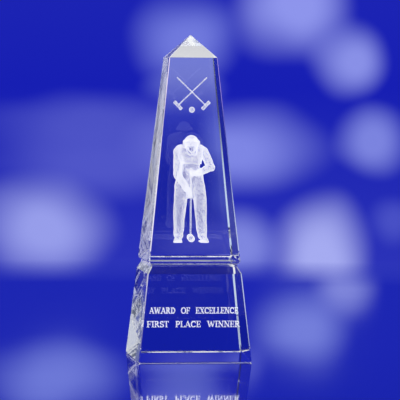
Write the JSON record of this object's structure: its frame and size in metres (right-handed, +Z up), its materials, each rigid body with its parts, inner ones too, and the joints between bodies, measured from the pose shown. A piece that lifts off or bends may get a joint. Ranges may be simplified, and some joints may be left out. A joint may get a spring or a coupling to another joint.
{
  "type": "crystal obelisk award",
  "caption": "Tapered square crystal obelisk on a bonded crystal base, with a waist groove, a pyramid top and white engravings inside.",
  "frame": {"origin": "centre of the foot, on the surface that the award stands on", "axes": "+Z up through the point of the pyramid; the front, which the engravings face, is -Y; +X is to the right seen from the front"},
  "size_m": [0.0598, 0.0598, 0.172],
  "materials": {
    "crystal": "clear optical crystal, polished",
    "bond": "clear cured adhesive",
    "engraving": "frosted white micro-fractures inside the crystal"
  },
  "bodies": {
    "root": {"base_block": "crystal", "bond_film": "bond", "tower_block": "crystal", "emblem_shaft_left": "engraving", "emblem_shaft_right": "engraving", "emblem_head_left": "engraving", "emblem_head_right": "engraving", "emblem_ball": "engraving", "player_cap": "engraving", "player_head": "engraving", "player_collar": "engraving", "player_shirt": "engraving", "player_belt": "engraving", "player_trousers": "engraving", "player_arm_left": "engraving", "player_arm_right": "engraving", "player_hand_upper": "engraving", "player_hand_lower": "engraving", "player_shoe_left": "engraving", "player_shoe_right": "engraving", "player_mallet_shaft": "engraving", "player_mallet_head": "engraving", "inscription_row_upper": "engraving", "inscription_row_lower": "engraving"}
  },
  "joints": []
}
